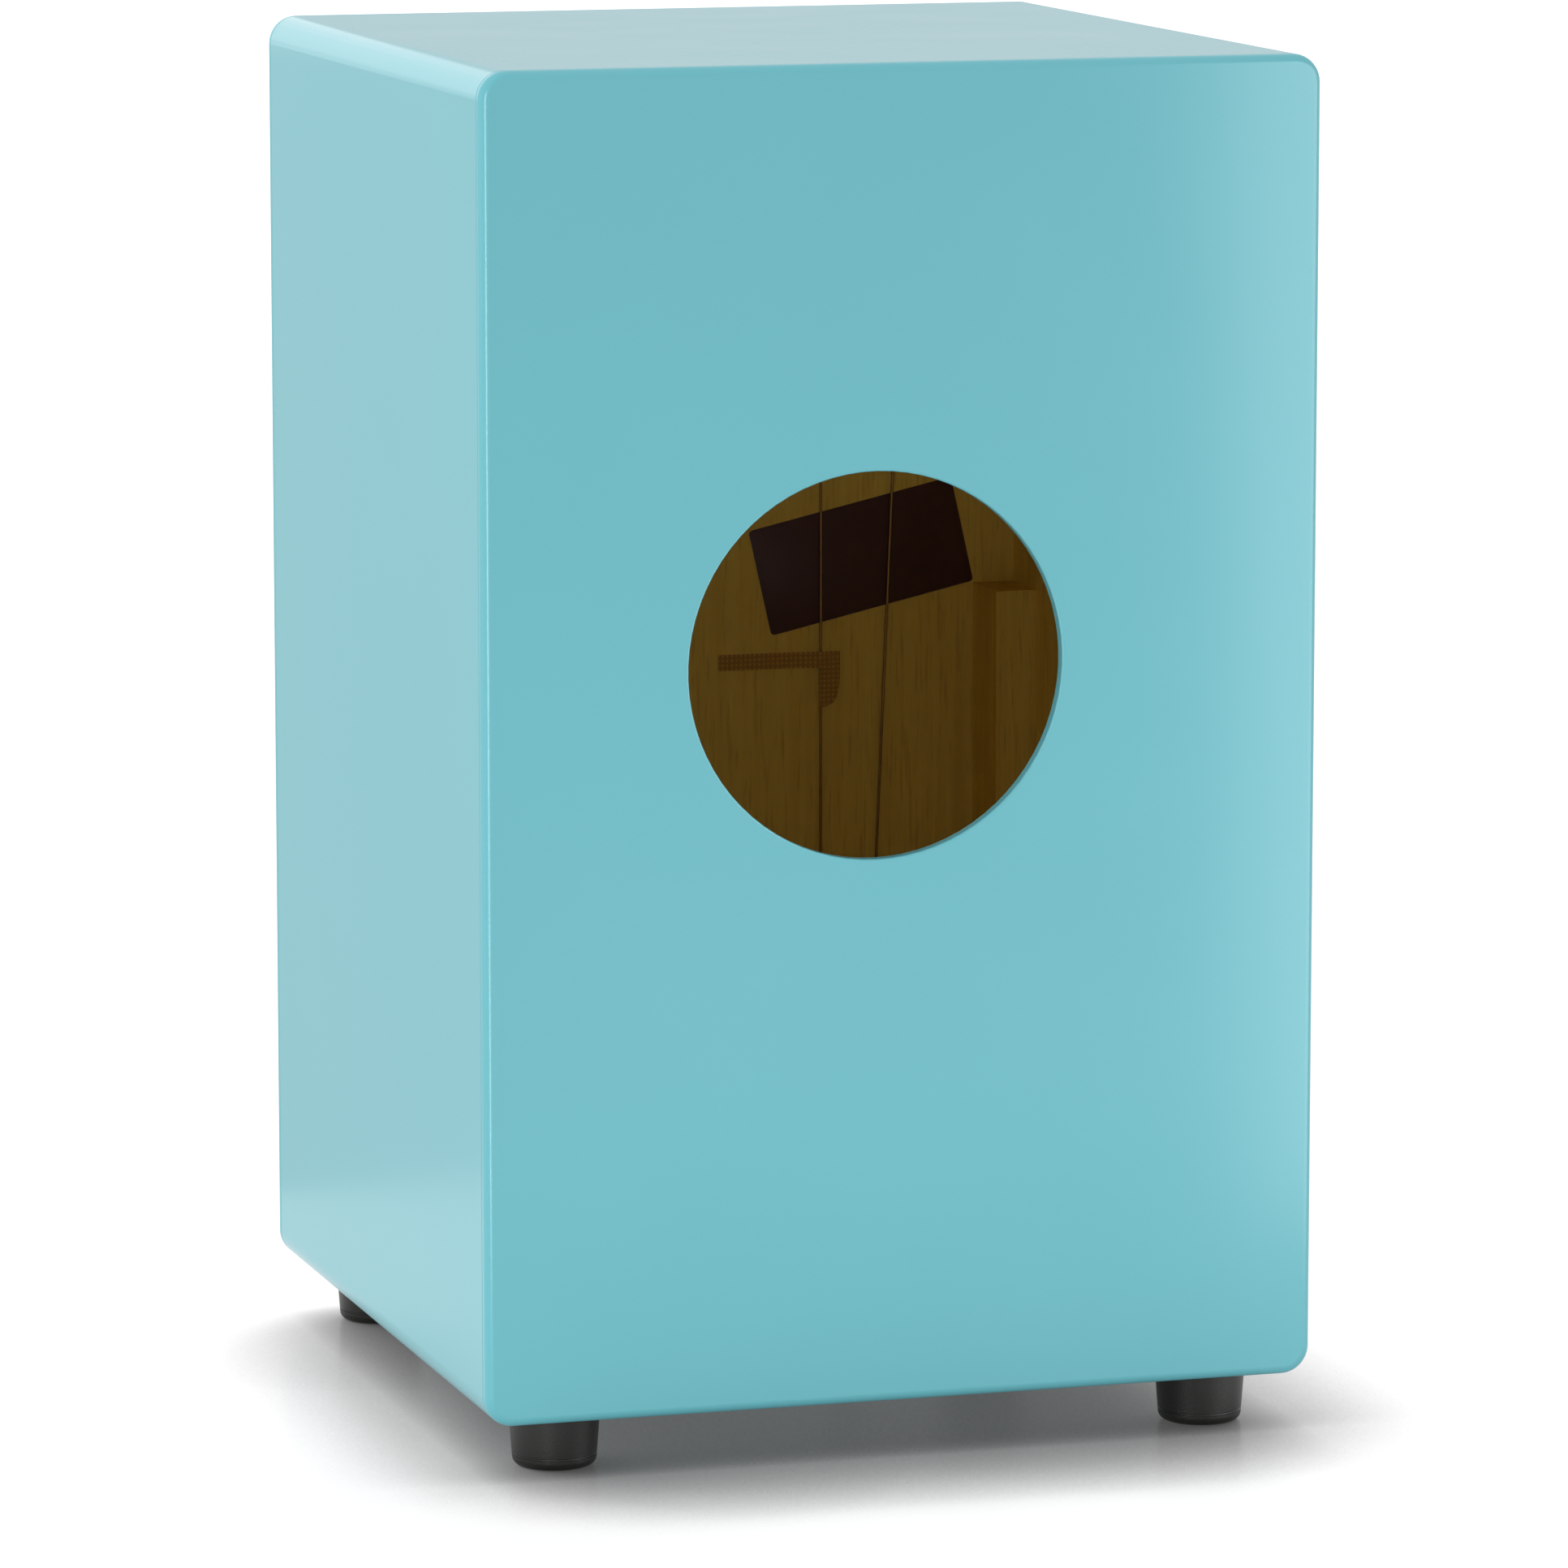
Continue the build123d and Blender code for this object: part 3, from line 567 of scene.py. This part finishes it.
turned_brass = plated_metal("turned_brass", BRASS, BRASS_TARNISH, 0.24, 0.4, 0.002)
for side in ("left", "right"):
    low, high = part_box(f"ball_ends_{side}")
    radius = (high.z - low.z) / 2
    length = high.y - low.y
    barrels = []
    loops = []
    for x in (low.x + radius, high.x - radius):
        middle = Vector((x, (low.y + high.y) / 2, low.z + radius))
        bpy.ops.object.select_all(action="DESELECT")
        bpy.ops.mesh.primitive_cylinder_add(vertices=BALL_SIDES, radius=radius, depth=length,
                                            location=middle, rotation=(math.radians(90), 0, 0))
        barrel = started(f"grooved_ball_ends_{side}")
        mesh = edit_mesh(barrel)
        for face in mesh.faces:
            face.select = abs(face.normal.y) > 0.9
        mesh.select_flush_mode()
        bmesh.update_edit_mesh(barrel.data)
        bpy.ops.mesh.select_mode(type="FACE")
        bpy.ops.mesh.inset(thickness=radius - BALL_HOLE, use_individual=True)
        bpy.ops.mesh.bridge_edge_loops()
        mesh = edit_mesh(barrel)
        for edge in mesh.edges:
            ends = [vertex.co - middle for vertex in edge.verts]
            spans = abs(ends[0].y - ends[1].y) > length / 2
            edge.select = spans and math.hypot(ends[0].x, ends[0].z) > radius * 0.9
        bmesh.update_edit_mesh(barrel.data)
        bpy.ops.mesh.subdivide(number_cuts=5)
        mesh = bmesh.from_edit_mesh(barrel.data)
        pick(barrel, mesh, lambda place: abs(place.y - middle.y) < length * GROOVE_REACH
             and math.hypot(place.x - middle.x, place.z - middle.z) > radius * 0.9)
        bpy.ops.transform.resize(value=(BALL_GROOVE, 1, BALL_GROOVE), center_override=middle)
        bpy.ops.object.mode_set(mode="OBJECT")
        apply_modifier(barrel, "BEVEL", width=BALL_EDGE, segments=2, limit_method="ANGLE")
        barrels.append(barrel)
        bpy.ops.object.select_all(action="DESELECT")
        bpy.ops.mesh.primitive_torus_add(
            major_radius=radius * BALL_GROOVE + LOOP_WIRE * LOOP_SEAT, minor_radius=LOOP_WIRE,
            major_segments=40, minor_segments=10, location=middle, rotation=(math.radians(90), 0, 0))
        loops.append(started(f"string_loops_{side}"))
    finished(joined(*barrels), turned_brass, "box", "brass", f"ball_ends_{side}")
    finished(joined(*loops), string_wire, "box", "string_wire")


# ------------------------------------------------------------ inner label
# Plain varnished paper sticker on the bare inner face of the playing plate, put on crooked.
LABEL_INK = "#472829"
LABEL_INK_FADED = "#4e2d2e"
LABEL_SIZE = (0.082, 0.041)
LABEL_CORNER = 0.0015
LABEL_EDGE = 0.3            # rounding of the edge, against the paper's thickness
LABEL_TILT = math.radians(12.7)
PAPER_FIBRE = 0.0006
PAPER_FIBRE_HEIGHT = 0.00002
PAPER_WEAR_SCALE = 60.0


def printed_paper():
    """Dark printed paper under varnish: nearly even colour, a slight sheen and a fibrous surface."""
    material = new_material("printed_varnished_paper")
    fibre = add_node(material, "TexNoise", {
        "Vector": object_point(material), "Scale": 1 / PAPER_FIBRE, "Detail": 3.0})
    wear = add_node(material, "TexNoise", {
        "Vector": object_point(material), "Scale": PAPER_WEAR_SCALE, "Detail": 4.0})
    colour = add_node(material, "Mix", {
        0: wear.outputs["Fac"], 6: linear(LABEL_INK), 7: linear(LABEL_INK_FADED)}, data_type="RGBA")
    bump = add_node(material, "Bump", {
        "Height": fibre.outputs["Fac"], "Distance": PAPER_FIBRE_HEIGHT, "Strength": 1.0})
    roughness = add_node(material, "MapRange", {
        "Value": wear.outputs["Fac"], "To Min": 0.4, "To Max": 0.6})
    return surface(material, Base_Color=colour.outputs[2], Roughness=roughness.outputs["Result"],
                   Normal=bump.outputs["Normal"])


low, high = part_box("inner_label")
middle = (low + high) / 2
thickness = high.y - low.y
bpy.ops.object.select_all(action="DESELECT")
bpy.ops.mesh.primitive_plane_add(size=1.0, location=(0, 0, 0))
label = bpy.context.object
label.scale = (*LABEL_SIZE, 1)
label = started("paper_label")
edit_mesh(label)
bpy.ops.mesh.select_all(action="SELECT")
bpy.ops.mesh.bevel(offset=LABEL_CORNER, segments=5, affect="VERTICES")
bpy.ops.object.mode_set(mode="OBJECT")
apply_modifier(label, "SOLIDIFY", thickness=thickness, offset=0)
apply_modifier(label, "BEVEL", width=thickness * LABEL_EDGE, segments=2, limit_method="ANGLE")
tilted = Matrix.Rotation(LABEL_TILT, 4, "Y") @ Matrix.Rotation(math.radians(-90), 4, "X")
label.data.transform(Matrix.Translation(middle) @ tilted)
finished(label, printed_paper(), "box", "dark_label", "inner_label")


# ------------------------------------------------------------ damping tape
# A strip of woven cotton tape stuck to the playing plate. It passes over the inner string to stop
# it from ringing too long, and its loose end hangs down beside it.
TAPE = "#cfa64a"
TAPE_DARK = "#a87f34"
TAPE_THREAD = 0.0009        # real threads are 0.3 mm apart, too fine to show, so they are drawn wider
TAPE_THREAD_HEIGHT = 0.00015
TAPE_THICKNESS = 0.0008
TAPE_WIDTH = 0.006
TAPE_EDGE = 0.0002
TAPE_GRID = (60, 8)
TAPE_RISE = 0.0016          # how far it leaves the plate on its way to the string
CLIMB_START = 0.0095        # measured from the string
CLIMB_LENGTH = 0.0055
STRING_BULGE = 0.0006       # how far the string lifts it
STRING_BULGE_WIDTH = 0.0016
LOOSE_WIDTH = 0.0083
LOOSE_BULGE = 0.6           # bulge in the loose end, against the bulge over the string
LOOSE_LEAN = 0.03
LOOSE_STEPS = (             # each step's drop, and its width against the step above
    (0.0035, 1.0), (0.004, 0.97), (0.0035, 0.9),
    (0.0025, 0.78), (0.0012, 0.55), (0.0005, 0.3))


def woven_tape():
    """Brown cotton tape: crossing threads give a soft chequered relief and a dull napped surface."""
    material = new_material("woven_cotton_tape")
    weave = []
    for axis in ("X", "Z"):
        threads = add_node(material, "TexWave", {
            "Vector": object_point(material), "Scale": 1 / (TAPE_THREAD * 20 / math.pi),
            "Distortion": 0.4, "Detail": 1.0, "Detail Scale": 3.0}, bands_direction=axis)
        weave.append(threads.outputs["Fac"])
    crossing = add_node(material, "Math", {0: weave[0], 1: weave[1]}, operation="MULTIPLY")
    colour = add_node(material, "Mix", {
        0: crossing.outputs["Value"], 6: linear(TAPE_DARK), 7: linear(TAPE)}, data_type="RGBA")
    bump = add_node(material, "Bump", {
        "Height": crossing.outputs["Value"], "Distance": TAPE_THREAD_HEIGHT, "Strength": 1.0})
    return surface(material, Base_Color=colour.outputs[2], Roughness=0.8,
                   Normal=bump.outputs["Normal"], Sheen_Weight=0.25, Sheen_Roughness=0.5)


low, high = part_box("damper_strap")
string_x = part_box("string_inner_right")[0].x + TAPE_THICKNESS
plate_face = low.y
strip_low = high.z - TAPE_WIDTH
loose_start = low.x + LOOSE_WIDTH
bpy.ops.object.select_all(action="DESELECT")
bpy.ops.mesh.primitive_grid_add(x_subdivisions=TAPE_GRID[0], y_subdivisions=TAPE_GRID[1], size=1.0,
                                rotation=(math.radians(90), 0, 0))
tape = bpy.context.object
tape.scale = (high.x - low.x, high.z - strip_low, 1)
tape.location = ((low.x + high.x) / 2, plate_face + TAPE_THICKNESS / 2, (strip_low + high.z) / 2)
tape = started("damping_tape")
mesh = edit_mesh(tape)
pick(tape, mesh, lambda place: place.z < strip_low + 0.0001 and place.x < loose_start)
for drop, narrow in LOOSE_STEPS:
    bpy.ops.mesh.extrude_region_move(TRANSFORM_OT_translate={"value": (0, 0, -drop)})
    bpy.ops.transform.resize(value=(narrow, 1, 1), center_override=(string_x, 0, 0))
mesh = bmesh.from_edit_mesh(tape.data)
for vertex in mesh.verts:
    along = vertex.co.x
    climb = min(1.0, max(0.0, (string_x + CLIMB_START - along) / CLIMB_LENGTH))
    climb = climb * climb * (3 - 2 * climb)
    over_string = math.exp(-((along - string_x) / STRING_BULGE_WIDTH) ** 2)
    hang = max(0.0, strip_low - vertex.co.z)
    bulge = STRING_BULGE * over_string * (1 if hang == 0 else LOOSE_BULGE)
    vertex.co.y += TAPE_RISE * climb + bulge - LOOSE_LEAN * hang
bmesh.update_edit_mesh(tape.data)
bpy.ops.object.mode_set(mode="OBJECT")
apply_modifier(tape, "SOLIDIFY", thickness=TAPE_THICKNESS, offset=0)
apply_modifier(tape, "BEVEL", width=TAPE_EDGE, segments=2, limit_method="ANGLE", angle_limit=1.0)
finished(tape, woven_tape(), "box", "damping_tape", "damper_strap")


# ------------------------------------------------------------ floor, light and camera
# A glowing white studio floor with a painted contact shadow, under a white surround. Four softboxes
# light the matt part of every surface, and three lamps and two grey cards that only the gloss sees shape
# the lacquer's sheen.
FLOOR_SIZE = 60.0
CONTACT_REACH = 0.11
PAINTED_SHADOW_LEAN = (0.04, -0.62, 0.78)
PAINTED_SHADOW_CURVE = (            # brightness of the floor's painted shadow against how open the floor is round it
    (0.0, 0.02), (0.13, 0.06), (0.29, 0.14), (0.52, 0.34),
    (0.68, 0.61), (0.82, 0.97), (1.0, 1.0))
CAMERA_PLACE = Vector((0.8866, 2.9121, 0.6878))
CAMERA_YAW = math.radians(16.97)
CAMERA_DROP = math.radians(8.84)
CAMERA_LENS = 196.4


def studio_floor():
    """A glowing white sweep, white everywhere but in a contact shadow painted into its glow under the
    box.
    """
    material = new_material("white_sweep_painted_shadow")
    # Painted shadow: the floor's glow is darkened where ambient occlusion finds the box near, its
    # hemisphere leaned one way to shape the shadow.
    lean = add_node(material, "CombineXYZ", dict(zip("XYZ", PAINTED_SHADOW_LEAN)))
    open_sky = add_node(material, "AmbientOcclusion", {
        "Distance": CONTACT_REACH, "Normal": lean.outputs["Vector"]}, samples=16)
    painted_shadow = add_node(material, "ValToRGB", {"Fac": open_sky.outputs["AO"]})
    for middle_stop in PAINTED_SHADOW_CURVE[1:-1]:
        painted_shadow.color_ramp.elements.new(middle_stop[0])
    for stop, (openness, brightness) in zip(painted_shadow.color_ramp.elements, PAINTED_SHADOW_CURVE):
        stop.position = openness
        stop.color = (brightness, brightness, brightness, 1.0)
    return surface(material, Base_Color=linear("#000000"), Roughness=0.25, Specular_IOR_Level=0.02,
                   Emission_Color=painted_shadow.outputs["Color"], Emission_Strength=1.0)


bpy.ops.object.select_all(action="DESELECT")
bpy.ops.mesh.primitive_plane_add(size=FLOOR_SIZE, location=(0, 0, 0))
floor = bpy.context.object
floor.name = "studio_floor"
floor.data.materials.append(studio_floor())

world = bpy.data.worlds.new("soft_white_surround")
world.use_nodes = True
world.node_tree.nodes["Background"].inputs["Color"].default_value = linear("#ffffff")
world.node_tree.nodes["Background"].inputs["Strength"].default_value = 1.0
bpy.context.scene.world = world


def softbox(name, place, aim, size, radiance, matt=True, gloss=True):
    """An area light that faces a point and lights the matt part of surfaces, their gloss, or both."""
    light = bpy.data.lights.new(name, "AREA")
    light.shape = "RECTANGLE"
    light.size, light.size_y = size
    light.energy = radiance * math.pi * size[0] * size[1]
    lamp = bpy.data.objects.new(name, light)
    lamp.location = place
    lamp.rotation_mode = "QUATERNION"
    lamp.rotation_quaternion = (Vector(aim) - Vector(place)).to_track_quat("-Z", "Y")
    lamp.visible_camera = False
    lamp.visible_diffuse = matt
    lamp.visible_glossy = gloss
    bpy.context.scene.collection.objects.link(lamp)


body_centre = (cad_low + cad_high) / 2
softbox("softbox_left", (1.6, 1.5, 0.9), body_centre, (0.9, 1.0), 1.8, gloss=False)
softbox("softbox_side", (3.0, 0.1, 0.9), body_centre, (1.5, 1.5), 4.3, gloss=False)
softbox("softbox_low", (0.0, 0.62, 0.07), (0.0, 0.15, 0.07), (0.6, 0.12), 2.8, gloss=False)
softbox("softbox_top", (0.0, 0.0, 3.0), body_centre, (1.5, 1.5), 1.5, gloss=False)
softbox("softbox_far", (0.38, -2.36, 0.97), body_centre, (1.5, 1.0), 0.45, matt=False)
softbox("edge_strip", (0.33, 0.46, 0.27), (0.15, 0.15, 0.25), (0.075, 0.56), 8.0, matt=False)
softbox("gloss_right", (-0.345, 0.37, 0.3), (-0.13, 0.15, 0.28), (0.3, 0.6), 3.4, matt=False)


def grey_card(name, centre, size, grey):
    """A grey card that only the lacquer's gloss sees, which keeps its sheen below pure white."""
    material = new_material(name)
    glow = add_node(material, "Emission", {"Color": linear("#ffffff"), "Strength": grey})
    output = material.node_tree.nodes["Material Output"]
    material.node_tree.links.new(glow.outputs["Emission"], output.inputs["Surface"])
    material.cycles.emission_sampling = "NONE"
    bpy.ops.object.select_all(action="DESELECT")
    bpy.ops.mesh.primitive_plane_add(size=1.0, location=centre, rotation=(math.radians(90), 0, 0))
    card = bpy.context.object
    card.name = name
    card.scale = (*size, 1)
    card.data.materials.append(material)
    card.visible_camera = False
    card.visible_diffuse = False
    card.visible_shadow = False


grey_card("grey_card_side", (0.5, -0.36, 0.22), (0.7, 0.48), 0.76)
grey_card("grey_card_top", (-0.35, -0.6, 0.72), (0.8, 0.5), 0.8)

camera_data = bpy.data.cameras.new("camera")
camera_data.lens = CAMERA_LENS
camera_data.sensor_width = 36.0
camera_data.clip_end = 100.0
camera = bpy.data.objects.new("camera", camera_data)
camera.location = CAMERA_PLACE
camera.rotation_mode = "QUATERNION"
camera.rotation_quaternion = Vector((
    -math.sin(CAMERA_YAW) * math.cos(CAMERA_DROP),
    -math.cos(CAMERA_YAW) * math.cos(CAMERA_DROP),
    -math.sin(CAMERA_DROP))).to_track_quat("-Z", "Y")
bpy.context.scene.collection.objects.link(camera)
bpy.context.scene.camera = camera
bpy.context.scene.view_settings.view_transform = "Standard"
